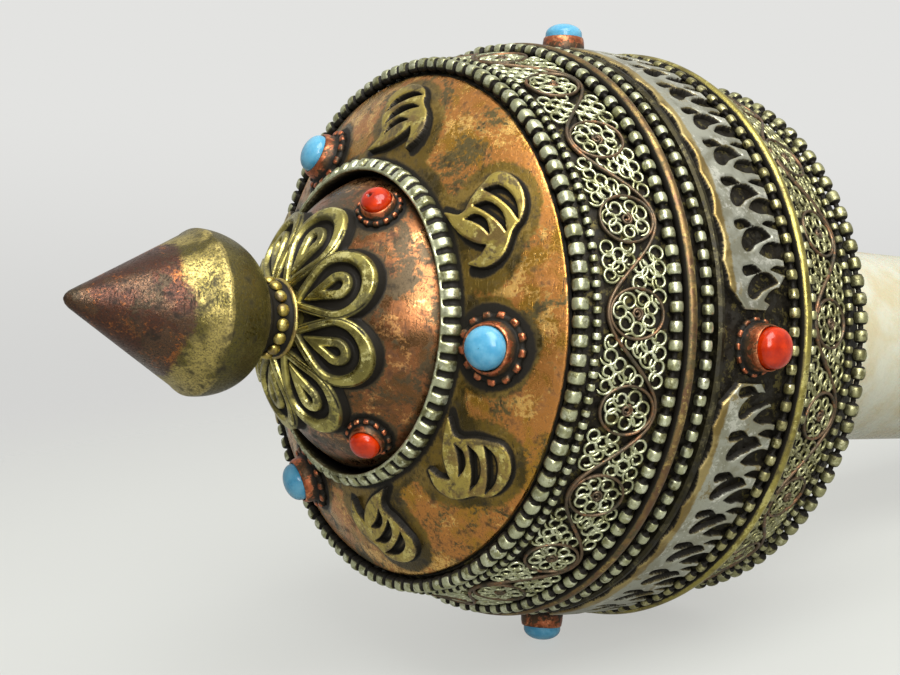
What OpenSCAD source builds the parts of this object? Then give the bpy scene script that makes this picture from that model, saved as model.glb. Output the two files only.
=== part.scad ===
// Hand-held prayer wheel: a copper and silver head that spins on a spindle set
// in a pale stone grip. The foot of the pommel is at the origin and +Z runs up
// the spindle to the finial. Heights with the prefix "h_" are measured from the
// seam plane, the level of the copper rib wire above the lid's joint.

/* [Handle] */
// Length of the stone grip
grip_len = 106; // [90:1:130]
// Radius of the stone grip
grip_r = 14.2; // [13.5:0.1:15]
// Height of the pommel cap
pommel_h = 16; // [14:1:20]
// Radius of the pommel cap, which a stand's socket can hold
pommel_r = 15.6; // [15.5:0.1:16]
// Radius of the flat foot under the pommel
foot_r = 15; // [14:0.1:15.2]
// Height of the ferrule on top of the grip
ferrule_h = 18; // [12:1:20]
// Radius of the steel spindle
spindle_r = 2.5; // [2.3:0.1:2.8]

/* [Head] */
// Outer radius of the drum's sheet wall
drum_r = 34.4; // [34.2:0.1:34.6]
// Depth of the drum from the seam plane to its base plate
drum_depth = 30.5; // [30:0.1:31]
// Thickness of the drum and lid sheet
sheet = 1; // [0.8:0.1:1.1]
// Radius of the big silver beads' ring
shoulder_r = 29.2; // [29:0.1:29.4]
// Height of the lid's shoulder edge above the seam plane
h_shoulder = 12.6; // [12.4:0.1:12.8]
// Radius of the crown dome's sphere
crown_sphere_r = 18.8; // [18.6:0.1:19]
// Outer radius of the crown ring
crown_ring_r = 18.7; // [18.5:0.1:18.9]

/* [Ornament] */
// Number of scroll roundels in each filigree belt
roundels = 20; // [12:1:20]
// Number of petals on the lotus
petals = 8; // [6:1:10]
// Radius of the lotus at its petal tips
lotus_r = 13.6; // [13:0.1:14]
// Radius of the turquoise stones on the shoulder
turquoise_r = 2.3; // [2:0.1:2.5]
// Radius of the coral stones on the crown
crown_coral_r = 1.7; // [1.5:0.1:1.9]
// Radius of the stones round the drum
band_stone_r = 2.3; // [1.7:0.1:2.4]

/* [Finial] */
// Largest radius of the finial
finial_r = 9; // [8.5:0.1:9.5]
// Height of the finial's tip above the seam plane
h_tip = 54.4; // [53:0.1:56]

/* [Scroll] */
// Outer radius of the rolled paper
scroll_r = 23.8; // [20:0.1:24]
// Height of the rolled paper
scroll_h = 38; // [30:1:38]

/* [Hidden] */

$fn = 96;
copper = "#a8683f";
dark_copper = "#5b4030";
brass = "#a6934a";
silver = "#b3b09b";
steel = "#8f9296";
stone_white = "#ece6d3";
turquoise = "#4fb4dd";
coral = "#d8341c";
paper = "#e6d9b5";

gap = 0.05;            // running clearance between parts that turn on each other
eps = 0.01;
grip_z = 4;            // grip's lower end, on the pommel cap's floor
grip_top = grip_z + grip_len;
ferrule_top = grip_top + 4;
cap_wall = 0.9;        // wall of the pommel cap and of the ferrule
handle_bead_r = 0.7;   // wire of the beaded rings on the pommel and the ferrule
handle_bead_in = 1.3;  // distance of those rings from the metal's edge
nut_r = 4.2;
nut_z = 1.2;
nut_pocket_r = 5.2;    // hole in the pommel's floor round the nut
washer_r = 6;
washer_h = 1.4;
lower_bush_r = 4.5;    // bush through the drum's base plate
lower_bush_h = 7;
bush_drop = 0.8;       // how far the lower bush stands below the base plate
upper_bush_r = 3.9;    // bush through the lid's crown
upper_bush_z = 19;
washer_z = ferrule_top;
seam_z = washer_z + washer_h + 0.1 + bush_drop + drum_depth;

thread_r = 1.8;        // threaded ends of the spindle
thread_fit = 0.1;
bush_top = 29.2;       // top of the lid's bush above the seam plane
h_collar = 29.4;       // underside of the finial's beaded collar
collar_h = 3.7;
collar_r = 4;
collar_bead_r = 0.65;
collar_rim_r = 4.5;    // plain rims above and below the collar's beads
collar_rim_h = 0.5;
h_belly = 40;          // height of the finial's widest edge
neck_r = 3.4;          // finial's radius where it meets the collar
thread_len = 8;        // thread that stands up from the spindle's shoulder

// Drum wall outline, outside, from the rim down to the base: [radius, height].
rim_h = -4.4;
base_taper = 2.8;      // how much narrower the drum is at its base
drum_wall = [
    [drum_r - 0.3, rim_h], [drum_r, -9], [drum_r, -16.8], [drum_r - 0.5, -19.2],
    [drum_r - 1.1, -23], [drum_r - 1.9, -26.6], [drum_r - base_taper, -drum_depth]
];
// Lid skirt outline, outside, from the shoulder down to the joint.
skirt_end = -3.1;
skirt_wall = [
    [shoulder_r, h_shoulder - 0.6], [30.1, 11], [30.8, 9.3], [32.6, 2.7],
    [33.2, 0], [33.45, skirt_end]
];
seat_r = 31.75;        // straight seat inside the lid's edge
seat_h = 1.6;

// Shoulder of the lid: an arc between the crown and the shoulder's edge.
arc_r = 30.4;
arc_in = 14.6;
arc_out = 39.6;
arc_c = [shoulder_r - 0.1 - arc_r * sin(arc_out), h_shoulder - arc_r * cos(arc_out)];
shoulder_sheet = 0.8;
crown_z = 10.1;        // centre of the crown dome's sphere above the seam plane
crown_sheet = 0.7;

band_lo = -14.2;       // pierced band's lower and upper edges
band_hi = -4.5;
band_t = 0.9;
band_mid = -9.6;
filigree_wire = 0.28;

function arc_pt(r, t) = [arc_c[0] + r * sin(t), arc_c[1] + r * cos(t)];
function arc_pts(r, from, to) = [for (i = [0:12]) arc_pt(r, from + (to - from) * i / 12)];
function inset(pts, d) = [for (p = pts) [p[0] - d, p[1]]];
function reversed(v) = [for (i = [len(v) - 1:-1:0]) v[i]];
function radius_at(pts, h) = lookup(-h, [for (p = pts) [-p[1], p[0]]]);

module at_seam() {
    translate([0, 0, seam_z]) children();
}

// A ring of beaded wire: one continuous wire round the head.
module wire_ring(r, h, wire_r) {
    at_seam() translate([0, 0, h]) rotate_extrude() translate([r, 0]) circle(wire_r, $fn = 24);
}

// Places children on the shoulder, +Z along the sheet's normal.
module on_shoulder(azimuth, t, lift = 0) {
    p = arc_pt(arc_r + lift, t);
    at_seam() rotate([0, 0, azimuth]) translate([p[0], 0, p[1]]) rotate([0, t, 0]) children();
}

module on_crown(azimuth, t, lift = 0) {
    r = crown_sphere_r + lift;
    at_seam() rotate([0, 0, azimuth]) translate([r * sin(t), 0, crown_z + r * cos(t)])
        rotate([0, t, 0]) children();
}

module on_band(azimuth, r) {
    at_seam() rotate([0, 0, azimuth]) translate([r, 0, band_mid]) rotate([0, 90, 0]) children();
}

// A round cabochon with a short cylindrical girdle and a domed top.
module cabochon(r, base) {
    dome = r * 0.95;
    translate([0, 0, base]) cylinder(r = r, h = r * 0.5);
    translate([0, 0, base + r * 0.5]) intersection() {
        sphere(r);
        cylinder(r = r + 1, h = dome);
    }
}

// A bezel: a flange with a raised cup, bored through for the stone.
module bezel(r, stone_r, cup_h) {
    difference() {
        union() {
            cylinder(r = r, h = 0.55);
            cylinder(r = stone_r + 0.55, h = cup_h);
        }
        translate([0, 0, -1]) cylinder(r = stone_r, h = cup_h + 2);
    }
}

// Angles from the spindle's axis, on the shoulder's arc and on the crown's sphere.
shoulder_stone_t = 25;
crown_stone_t = 51;
// Directions round the head. The ornament is laid out by hand, so they are uneven.
shoulder_stone_az = [-7, 118, 236];
crown_stone_az = [56, 177, 300];
ornament_az = [27, 79, 155, 199, 277, 320];
band_stone_az = [-3, 87, 177, 271];    // coral and turquoise by turns
shoulder_bezel_r = 3.9;
crown_bezel_r = 2.65;
band_seat = 0.9;       // how far the band's stones stand up on their seats

/* Handle */

module pommel_cap() {
    color(silver) difference() {
        rotate_extrude() polygon([
            [0, 0], [foot_r, 0], [pommel_r, 0.6], [pommel_r, pommel_h - 3],
            [grip_r + cap_wall, pommel_h - 2.5], [grip_r + cap_wall, pommel_h],
            [0, pommel_h]
        ]);
        translate([0, 0, grip_z]) cylinder(r = grip_r, h = pommel_h);
        translate([0, 0, 1]) cylinder(r = nut_pocket_r, h = grip_z);
    }
}

// A ring of beaded wire round the pommel or the ferrule, at height z.
module handle_beads(z) {
    color(silver) translate([0, 0, z]) rotate_extrude()
        translate([grip_r + cap_wall + handle_bead_r, 0]) circle(handle_bead_r, $fn = 24);
}

module pommel_bead_ring() {
    handle_beads(pommel_h - handle_bead_in);
}

module handle_grip() {
    color(stone_white) translate([0, 0, grip_z]) difference() {
        cylinder(r = grip_r, h = grip_len);
        translate([0, 0, -eps]) cylinder(r = spindle_r + gap, h = grip_len + 2 * eps);
    }
}

module spindle() {
    color(steel) {
        translate([0, 0, nut_z + 0.2]) cylinder(r = thread_r, h = grip_z - nut_z - 0.2);
        translate([0, 0, grip_z]) cylinder(r = spindle_r, h = seam_z + bush_top - grip_z);
        translate([0, 0, seam_z + bush_top]) cylinder(r = thread_r, h = thread_len);
    }
}

module spindle_nut() {
    color(steel) translate([0, 0, nut_z]) difference() {
        cylinder(r = nut_r, h = grip_z - nut_z, $fn = 6);
        translate([0, 0, -eps]) cylinder(r = thread_r, h = grip_z);
    }
}

module ferrule() {
    color(silver) difference() {
        rotate_extrude() polygon([
            [0, ferrule_top - ferrule_h], [grip_r + cap_wall, ferrule_top - ferrule_h],
            [grip_r + cap_wall, ferrule_top - 5], [grip_r - 1, ferrule_top - 2.2],
            [8, ferrule_top - 0.6], [6.5, ferrule_top], [0, ferrule_top]
        ]);
        translate([0, 0, grip_top - ferrule_h]) cylinder(r = grip_r, h = ferrule_h);
        translate([0, 0, grip_top - 1]) cylinder(r = spindle_r + gap, h = ferrule_h);
    }
}

module ferrule_bead_ring() {
    handle_beads(ferrule_top - ferrule_h + handle_bead_in);
}

module thrust_washer() {
    color(stone_white) translate([0, 0, washer_z]) difference() {
        cylinder(r = washer_r, h = washer_h);
        translate([0, 0, -eps]) cylinder(r = spindle_r + gap, h = washer_h + 2 * eps);
    }
}

/* Drum */

module drum_shell() {
    color(dark_copper) at_seam() rotate_extrude()
        polygon(concat(drum_wall, reversed(inset(drum_wall, sheet))));
}

module drum_floor() {
    edge_r = drum_r - base_taper - sheet;
    color(copper) at_seam() translate([0, 0, -drum_depth]) difference() {
        cylinder(r = edge_r, h = sheet);
        translate([0, 0, -eps]) cylinder(r = lower_bush_r, h = sheet + 2 * eps);
    }
}

module drum_lower_bush() {
    color(brass) at_seam() translate([0, 0, -drum_depth - bush_drop]) difference() {
        union() {
            cylinder(r = washer_r, h = bush_drop);
            cylinder(r = lower_bush_r, h = lower_bush_h);
        }
        translate([0, 0, -eps]) cylinder(r = spindle_r + gap, h = lower_bush_h + 1);
    }
}

module drum_collar() {
    r_out = seat_r - gap;
    r_in = r_out - 0.8;
    solder_r = drum_r - 0.3 - sheet;
    color(copper) at_seam() rotate_extrude() polygon([
        [r_in, -11], [solder_r, -11], [solder_r, rim_h], [r_out, rim_h],
        [r_out, 0.6], [r_out - 0.3, 1], [r_in, 1]
    ]);
}

module drum_rim_wire() {
    color(brass) at_seam() rotate_extrude()
        polygon([[32.7, rim_h], [drum_r + 0.3, rim_h], [drum_r + 0.3, rim_h + 0.4],
                 [drum_r, rim_h + 0.7], [32.7, rim_h + 0.7]]);
}

// The pierced band: four strips that end at the stones, each with a slot and a
// round hole between its tongues.
module band_cutout() {
    translate([0, 0, -1.3]) cube([3, 1, 3.4], center = true);
    translate([0, 0, 1.9]) rotate([0, 90, 0])
        cylinder(r = 0.55, h = 3, center = true, $fn = 24);
}

module band_strip(from, to) {
    strip_end = 6.5;
    cut_end = 3;
    cuts = 10;
    start = from + strip_end;
    span = to - from - 2 * strip_end;
    difference() {
        rotate([0, 0, start]) rotate_extrude(angle = span)
            translate([drum_r, band_lo]) square([band_t, band_hi - band_lo]);
        for (i = [0:cuts])
            rotate([0, 0, start + cut_end + i * (span - 2 * cut_end) / cuts])
                translate([drum_r, 0, band_mid]) band_cutout();
    }
}

module ornament_band() {
    ends = concat(band_stone_az, [band_stone_az[0] + 360]);
    color(silver) at_seam() for (i = [0:3]) band_strip(ends[i], ends[i + 1]);
}

module band_stone(azimuth) {
    on_band(azimuth, drum_r) union() {
        cylinder(r = band_stone_r, h = band_seat + 0.2);
        cabochon(band_stone_r, band_seat);
    }
}

module band_turquoise_stones() {
    color(turquoise) for (i = [1, 3]) band_stone(band_stone_az[i]);
}

module band_coral_stones() {
    color(coral) for (i = [0, 2]) band_stone(band_stone_az[i]);
}

module band_bezels() {
    cup_h = band_seat + 1.7;
    color(copper) difference() {
        for (az = band_stone_az)
            on_band(az, drum_r - 0.2) bezel(band_stone_r + 0.95, band_stone_r, cup_h);
        at_seam() translate([0, 0, band_lo - 1]) cylinder(r = drum_r, h = band_hi - band_lo + 2);
    }
}

module drum_brass_beads() {
    color(brass) wire_ring(drum_r + 0.62, -15.1, 0.6);
}

module drum_rib_wire() {
    color(brass) wire_ring(drum_r + 0.72, -16.9, 0.7);
}

module drum_small_beads() {
    color(silver) wire_ring(drum_r + 0.35, -18.5, 0.5);
}

module drum_lower_beads() {
    color(silver) wire_ring(drum_r - 1.3, -27.1, 0.5);
}

module drum_bottom_beads() {
    color(silver) wire_ring(drum_r - 1.5, -29.4, 0.85);
}

// Wire rings laid round the sheet: one vine roundel per unit, and small curls
// inside it, standing clear of the sheet by the wire's own radius.
module belt_item(i, h, wall, tilt, lift) {
    r = radius_at(wall, h) + lift;
    at_seam() rotate([0, 0, belt_az + i * 360 / roundels]) translate([r, 0, h])
        rotate([0, 90 - tilt, 0]) children();
}

module wire_loop(loop_r, wire_r) {
    rotate_extrude($fn = 48) translate([loop_r, 0]) circle(wire_r, $fn = 16);
}

module curls(loop_r, spread) {
    for (a = [0:72:288]) rotate([0, 0, a]) translate([spread, 0, 0]) wire_loop(loop_r, 0.2);
}

belt_az = 2;           // direction of the first roundel
lid_belt_h = 5.9;
lid_belt_tilt = 15;
drum_belt_h = -22.7;
drum_belt_tilt = -11;

module drum_filigree_vine() {
    color(copper) for (i = [0:roundels - 1])
        belt_item(i, drum_belt_h, drum_wall, drum_belt_tilt, 0.62) wire_loop(2.5, filigree_wire);
}

module drum_filigree_curls() {
    color(silver) for (i = [0:roundels - 1])
        belt_item(i, drum_belt_h, drum_wall, drum_belt_tilt, 0.5) curls(0.52, 1.3);
}

/* Lid */

module lid_skirt() {
    inner = concat([[seat_r, skirt_end], [seat_r, seat_h]],
                   [for (i = [3:-1:0]) [skirt_wall[i][0] - sheet, skirt_wall[i][1]]]);
    color(dark_copper) at_seam() rotate_extrude() polygon(concat(skirt_wall, inner));
}

module shoulder_dome() {
    color(copper) at_seam() rotate_extrude() polygon(concat(
        arc_pts(arc_r, arc_in, arc_out),
        [[shoulder_r, h_shoulder - 0.5], [shoulder_r - 1.2, h_shoulder - 0.5]],
        reversed(arc_pts(arc_r - shoulder_sheet, arc_in, arc_out - 1))
    ));
}

// One curled leaf plate in plan: its round end, with an opening, points outwards
// along +X and its tail bends to one side.
module leaf_plan() {
    leaf_r = 24.5;
    difference() {
        union() {
            translate([leaf_r, 0]) circle(2.9);
            translate([leaf_r - 2.7, 1.3]) circle(1.6);
            translate([leaf_r - 4.1, 2.5]) circle(0.9);
        }
        translate([leaf_r, 0]) circle(1.4);
    }
}

module shoulder_ornaments() {
    color(brass) at_seam() intersection() {
        rotate_extrude() polygon(concat(arc_pts(arc_r + eps, arc_in, arc_out),
                                        reversed(arc_pts(arc_r + 0.9, arc_in, arc_out))));
        for (az = ornament_az) rotate([0, 0, az]) translate([0, 0, h_shoulder - 2])
            linear_extrude(14) leaf_plan();
    }
}

module shoulder_turquoise_stones() {
    color(turquoise) for (az = shoulder_stone_az)
        on_shoulder(az, shoulder_stone_t) cabochon(turquoise_r, 0.2);
}

module shoulder_bezels() {
    color(copper) for (az = shoulder_stone_az)
        on_shoulder(az, shoulder_stone_t) bezel(shoulder_bezel_r, turquoise_r, 1.9);
}

module crown_ring() {
    lip_r = 17.3;
    foot = arc_pt(arc_r, arc_in + 0.2)[1];
    color(silver) at_seam() difference() {
        rotate_extrude() polygon([
            [lip_r, foot - 1], [crown_ring_r, foot - 1], [crown_ring_r, foot + 0.8],
            [lip_r + 0.5, foot + 1.7], [lip_r, foot + 1.7]
        ]);
        rotate_extrude() polygon(concat(
            arc_pts(arc_r, arc_in - 2, arc_out), [[shoulder_r, 5], [10, 5], [10, 16]]));
    }
}

module crown_dome() {
    rest = arc_pt(arc_r, arc_in)[1];
    color(copper) at_seam() difference() {
        translate([0, 0, crown_z]) sphere(crown_sphere_r);
        translate([0, 0, crown_z]) sphere(crown_sphere_r - crown_sheet);
        translate([0, 0, rest - 40]) cylinder(r = 25, h = 40);
        cylinder(r = upper_bush_r, h = 40);
    }
}

module crown_coral_stones() {
    color(coral) for (az = crown_stone_az)
        on_crown(az, crown_stone_t) cabochon(crown_coral_r, 0.1);
}

module crown_bezels() {
    color(copper) for (az = crown_stone_az)
        on_crown(az, crown_stone_t) bezel(crown_bezel_r, crown_coral_r, 1.3);
}

module lotus_plan() {
    petal_r = 4;
    circle(lotus_r - petal_r + 1);
    for (i = [0:petals - 1])
        rotate((i + 0.5) * 360 / petals) translate([lotus_r - petal_r, 0]) circle(petal_r);
}

module lotus_rosette() {
    color(brass) difference() {
        at_seam() difference() {
            intersection() {
                translate([0, 0, crown_z]) sphere(crown_sphere_r + 1.5);
                translate([0, 0, crown_z]) linear_extrude(30) lotus_plan();
            }
            translate([0, 0, crown_z]) sphere(crown_sphere_r);
            cylinder(r = upper_bush_r, h = 40);
            translate([0, 0, bush_top]) cylinder(r = collar_r + collar_bead_r + 0.55, h = 5);
        }
        // petals trimmed clear of the coral bezels
        for (az = crown_stone_az)
            on_crown(az, crown_stone_t, -1) cylinder(r = crown_bezel_r + gap, h = 4);
    }
}

module lid_upper_bush() {
    color(brass) at_seam() difference() {
        translate([0, 0, upper_bush_z]) cylinder(r = upper_bush_r, h = bush_top - upper_bush_z);
        cylinder(r = spindle_r + gap, h = 40);
    }
}

module lid_big_beads() {
    color(silver) wire_ring(shoulder_r + 1.1, 12.1, 0.85);
}

module lid_small_beads() {
    color(silver) wire_ring(30.98, 10.5, 0.5);
}

module lid_filigree_vine() {
    color(copper) for (i = [0:roundels - 1])
        belt_item(i, lid_belt_h, skirt_wall, lid_belt_tilt, 0.62) wire_loop(2.5, filigree_wire);
}

module lid_filigree_curls() {
    color(silver) for (i = [0:roundels - 1])
        belt_item(i, lid_belt_h, skirt_wall, lid_belt_tilt, 0.5) curls(0.52, 1.3);
}

module lid_medium_beads() {
    color(silver) wire_ring(33.6, 1.8, 0.72);
}

module lid_rib_wire() {
    color(copper) wire_ring(33.95, 0, 0.7);
}

module lid_edge_beads() {
    color(silver) wire_ring(34.1, -2.4, 0.65);
}

/* Finial */

// The round belly under the cone, from its neck at 0 degrees to its edge at 90.
function finial_under(t) = [
    neck_r + (finial_r - neck_r) * sin(t), h_belly - (h_belly - h_collar - collar_h) * cos(t)
];

module finial() {
    color(dark_copper) at_seam() difference() {
        rotate_extrude() polygon(concat(
            [[0, h_collar + collar_h]],
            [for (t = [0:10:90]) finial_under(t)],
            [[finial_r - 0.15, h_belly + 0.4], [0.7, h_tip - 0.5], [0.35, h_tip - 0.1], [0, h_tip]]
        ));
        translate([0, 0, h_collar]) cylinder(r = thread_r + thread_fit, h = 9);
    }
}

module finial_collar() {
    color(brass) at_seam() translate([0, 0, h_collar]) difference() {
        union() {
            cylinder(r = collar_r, h = collar_h);
            translate([0, 0, collar_h / 2]) rotate_extrude()
                translate([collar_r, 0]) circle(collar_bead_r, $fn = 24);
            for (z = [0, collar_h - collar_rim_h]) translate([0, 0, z])
                cylinder(r = collar_rim_r, h = collar_rim_h);
        }
        translate([0, 0, -eps]) cylinder(r = thread_r + thread_fit, h = collar_h + 2 * eps);
    }
}

/* Scroll */

h_scroll = -drum_depth + sheet + 0.2;
core_r = 5.6;
core_wall = 0.8;
tie_h = 8;

module scroll_core() {
    color(dark_copper) at_seam() translate([0, 0, h_scroll]) difference() {
        cylinder(r = core_r, h = scroll_h + 0.8);
        translate([0, 0, -eps]) cylinder(r = core_r - core_wall, h = scroll_h + 2);
    }
}

module scroll_paper() {
    color(paper) at_seam() translate([0, 0, h_scroll]) difference() {
        cylinder(r = scroll_r, h = scroll_h);
        translate([0, 0, -eps]) cylinder(r = core_r, h = scroll_h + 1);
    }
}

module scroll_band() {
    color(copper) at_seam() translate([0, 0, h_scroll + (scroll_h - tie_h) / 2]) difference() {
        cylinder(r = scroll_r + 0.35, h = tie_h);
        translate([0, 0, -eps]) cylinder(r = scroll_r, h = tie_h + 1);
    }
}

pommel_cap();
pommel_bead_ring();
handle_grip();
spindle();
spindle_nut();
ferrule();
ferrule_bead_ring();
thrust_washer();
drum_shell();
drum_floor();
drum_lower_bush();
drum_collar();
drum_rim_wire();
ornament_band();
band_turquoise_stones();
band_coral_stones();
band_bezels();
drum_brass_beads();
drum_rib_wire();
drum_small_beads();
drum_filigree_vine();
drum_filigree_curls();
drum_lower_beads();
drum_bottom_beads();
lid_skirt();
shoulder_dome();
shoulder_ornaments();
shoulder_turquoise_stones();
shoulder_bezels();
crown_ring();
crown_dome();
crown_coral_stones();
crown_bezels();
lotus_rosette();
lid_upper_bush();
lid_big_beads();
lid_small_beads();
lid_filigree_vine();
lid_filigree_curls();
lid_medium_beads();
lid_rib_wire();
lid_edge_beads();
finial();
finial_collar();
scroll_paper();
scroll_core();
scroll_band();
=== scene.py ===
"""Looks for the hand-held prayer wheel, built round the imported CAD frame.

Everything is in metres in the row frame: the foot of the pommel at the origin
and +Z up the spindle. Detailed pieces take their radii, heights and directions
from the CAD nodes that they replace.
"""
import math

import bpy
import numpy as np
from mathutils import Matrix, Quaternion, Vector


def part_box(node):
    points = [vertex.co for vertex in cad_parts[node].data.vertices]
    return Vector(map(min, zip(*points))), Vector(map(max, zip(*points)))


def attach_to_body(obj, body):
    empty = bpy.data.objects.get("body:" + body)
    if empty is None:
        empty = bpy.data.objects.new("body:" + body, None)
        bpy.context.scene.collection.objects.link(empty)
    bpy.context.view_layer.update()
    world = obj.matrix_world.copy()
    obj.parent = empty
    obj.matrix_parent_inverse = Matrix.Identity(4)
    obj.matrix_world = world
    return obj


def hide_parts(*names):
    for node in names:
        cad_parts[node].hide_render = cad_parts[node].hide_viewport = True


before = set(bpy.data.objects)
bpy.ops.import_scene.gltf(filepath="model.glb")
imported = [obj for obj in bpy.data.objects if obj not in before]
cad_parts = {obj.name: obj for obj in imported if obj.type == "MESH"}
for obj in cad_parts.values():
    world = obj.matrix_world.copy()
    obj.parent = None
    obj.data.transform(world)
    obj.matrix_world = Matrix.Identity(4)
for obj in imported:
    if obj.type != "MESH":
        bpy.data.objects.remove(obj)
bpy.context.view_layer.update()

MM = 0.001
TAU = 2 * math.pi
rng = np.random.default_rng(11)


# -------------------- frame readings

def vertices(made):
    """An object's vertices as an (n, 3) array."""
    co = np.empty(len(made.data.vertices) * 3, np.float32)
    made.data.vertices.foreach_get("co", co)
    return co.reshape(-1, 3)


def cloud(node):
    """A CAD node's vertices in double precision."""
    return vertices(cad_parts[node]).astype(float)


def extent(node, unit=1.0):
    """Outer radius, foot and top of a CAD node, in a unit given in metres."""
    low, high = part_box(node)
    return high.x / unit, low.z / unit, high.z / unit


def mid_height(node):
    return sum(corner.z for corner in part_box(node)) / 2


def ring_of(node):
    """Ring radius, height and wire radius of a CAD wire ring."""
    outer, foot, top = extent(node)
    wire = (top - foot) / 2
    return outer - wire, mid_height(node), wire


def polar(r, angle, z):
    """Points by radius, azimuth and height, with a last axis of x, y, z."""
    return np.stack(np.broadcast_arrays(r * np.cos(angle), r * np.sin(angle), z), -1)


def whole_turn(count):
    return np.arange(count) * TAU / count


def angle_from(azimuth, angle):
    """The turn from an azimuth to each angle, between -pi and pi."""
    return (angle - azimuth + math.pi) % TAU - math.pi


def lots(node, gap=2.0):
    """A node's separate solids round the head, as [(azimuth, vertices)]."""
    co = cloud(node)
    angle = np.degrees(np.arctan2(co[:, 1], co[:, 0])) % 360
    order = np.argsort(angle)
    angle, co = angle[order], co[order]
    jumps = np.flatnonzero(np.diff(np.append(angle, angle[0] + 360)) > gap)
    start = (jumps[-1] + 1) % len(angle)
    angle, co = np.roll(angle, -start), np.roll(co, -start, axis=0)
    angle = np.unwrap(angle, period=360)
    groups, first = [], 0
    for last in [*np.flatnonzero(np.diff(angle) > gap), len(angle) - 1]:
        middle = math.radians((angle[first] + angle[last]) / 2)
        groups.append((middle, co[first:last + 1]))
        first = last + 1
    return groups


SEAM = mid_height("lid_rib_wire")


class Skin:
    """The outer skin of a turned CAD node. It places points by azimuth,
    distance down the skin, and lift off it."""

    def __init__(self, node):
        co = cloud(node)
        points = sorted({(round(z, 6), round(r, 6)) for r, z in
                         zip(np.hypot(co[:, 0], co[:, 1]), co[:, 2])}, reverse=True)
        chain = []
        for z, r in points:
            while len(chain) > 1 and self.dips(chain[-2], chain[-1], (r, z)):
                chain.pop()
            chain.append((r, z))
        self.r, self.z = np.array(chain).T
        step = np.hypot(np.diff(self.r), np.diff(self.z))
        self.s = np.concatenate([[0], np.cumsum(step)])
        slope = np.stack([np.gradient(self.r, self.s), np.gradient(self.z, self.s)])
        slope /= np.linalg.norm(slope, axis=0)
        self.nr, self.nz = -slope[1], slope[0]

    @staticmethod
    def dips(a, b, c):
        """Whether b lies inside the line from a to c."""
        return (b[0] - a[0]) * (c[1] - a[1]) - (b[1] - a[1]) * (c[0] - a[0]) >= 0

    def at_height(self, z):
        return np.interp(-z, -self.z, self.s)

    def nearest(self, r, z):
        s = np.linspace(0, self.s[-1], 2000)
        gap = np.hypot(self.radius(s) - r, np.interp(s, self.s, self.z) - z)
        return float(s[gap.argmin()])

    def radius(self, s):
        return np.interp(s, self.s, self.r)

    def place(self, angle, s, lift):
        r = self.radius(s) + lift * np.interp(s, self.s, self.nr)
        return polar(r, angle, np.interp(s, self.s, self.z)
                     + lift * np.interp(s, self.s, self.nz))

    def normal(self, angle, s):
        return polar(np.interp(s, self.s, self.nr), angle, np.interp(s, self.s, self.nz))

    def apart(self, seat, angle, s):
        """How far across and down the skin each point lies from a seat."""
        return angle_from(seat[0], angle) * self.radius(s), s - seat[1]

    def seat(self, node):
        """(azimuth, distance down the skin) of each solid of a node."""
        seats = []
        for angle, co in lots(node):
            x, y, z = (co.min(0) + co.max(0)) / 2
            seats.append((angle, self.nearest(np.hypot(x, y), z)))
        return seats


SKIRT = Skin("lid_skirt")
DRUM = Skin("drum_shell")
SHOULDER = Skin("shoulder_dome")
CROWN = Skin("crown_dome")


# -------------------- materials

class Nodes:
    """A node tree that is built one call at a time."""

    def __init__(self, tree):
        self.tree = tree

    def add(self, kind, inputs=(), **settings):
        node = self.tree.nodes.new("ShaderNode" + kind)
        for key, value in settings.items():
            setattr(node, key, value)
        for key, value in dict(inputs).items():
            self.feed(node.inputs[key], value)
        return node

    def feed(self, socket, value):
        if isinstance(value, bpy.types.NodeSocket):
            self.tree.links.new(value, socket)
        else:
            socket.default_value = value

    def step(self, value, low, high, to_low=0.0, to_high=1.0):
        """A smooth step from to_low at value low, to to_high at value high."""
        return self.add("MapRange", {
            "Value": value, "From Min": low, "From Max": high, "To Min": to_low,
            "To Max": to_high}, interpolation_type="SMOOTHSTEP").outputs["Result"]

    def math(self, operation, a, b, clamp=True):
        return self.add("Math", {0: a, 1: b}, operation=operation,
                        use_clamp=clamp).outputs[0]

    def total(self, *shares):
        """The sum of (value, weight) pairs, held between 0 and 1."""
        total = 0.0
        for value, weight in shares:
            total = self.add("Math", {0: value, 1: weight, 2: total},
                             operation="MULTIPLY_ADD", use_clamp=True).outputs[0]
        return total

    def mix(self, factor, a, b):
        return self.add("Mix", {0: factor, 6: a, 7: b}, data_type="RGBA").outputs[2]

    def blend(self, factor, a, b):
        return self.add("Mix", {0: factor, 2: a, 3: b}, data_type="FLOAT").outputs[0]


class Paint(Nodes):
    """A material. The sizes of its noise are in mm."""

    def __init__(self, name, slot=None):
        self.material = bpy.data.materials.new(name)
        self.material.use_nodes = True
        super().__init__(self.material.node_tree)
        self.slot = slot
        self.shader = self.tree.nodes["Principled BSDF"]
        self.where = self.add("TexCoord").outputs["Object"]

    def noise(self, size, detail=3.0, rough=0.55, bend=0.0, stretch=None):
        where = self.where
        if stretch:
            where = self.add("Mapping", {"Vector": where, "Scale": stretch}).outputs[0]
        return self.add("TexNoise", {
            "Vector": where, "Scale": 1 / (size * MM), "Detail": detail,
            "Roughness": rough, "Distortion": bend}).outputs["Fac"]

    def attribute(self, name):
        return self.add("Attribute", attribute_name=name).outputs["Fac"]

    def bump(self, height, depth, strength):
        self.feed(self.shader.inputs["Normal"], self.add("Bump", {
            "Height": height, "Distance": depth * MM, "Strength": strength}).outputs[0])

    def finish(self, **inputs):
        for key, value in inputs.items():
            self.feed(self.shader.inputs[key.replace("_", " ")], value)


def tones(text):
    """Linear colours from words of six sRGB hex digits."""
    return [tuple(((c / 255 + 0.055) / 1.055) ** 2.4 if c > 10 else c / 3295
                  for c in bytes.fromhex(word)) + (1.0,) for word in text.split()]


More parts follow.
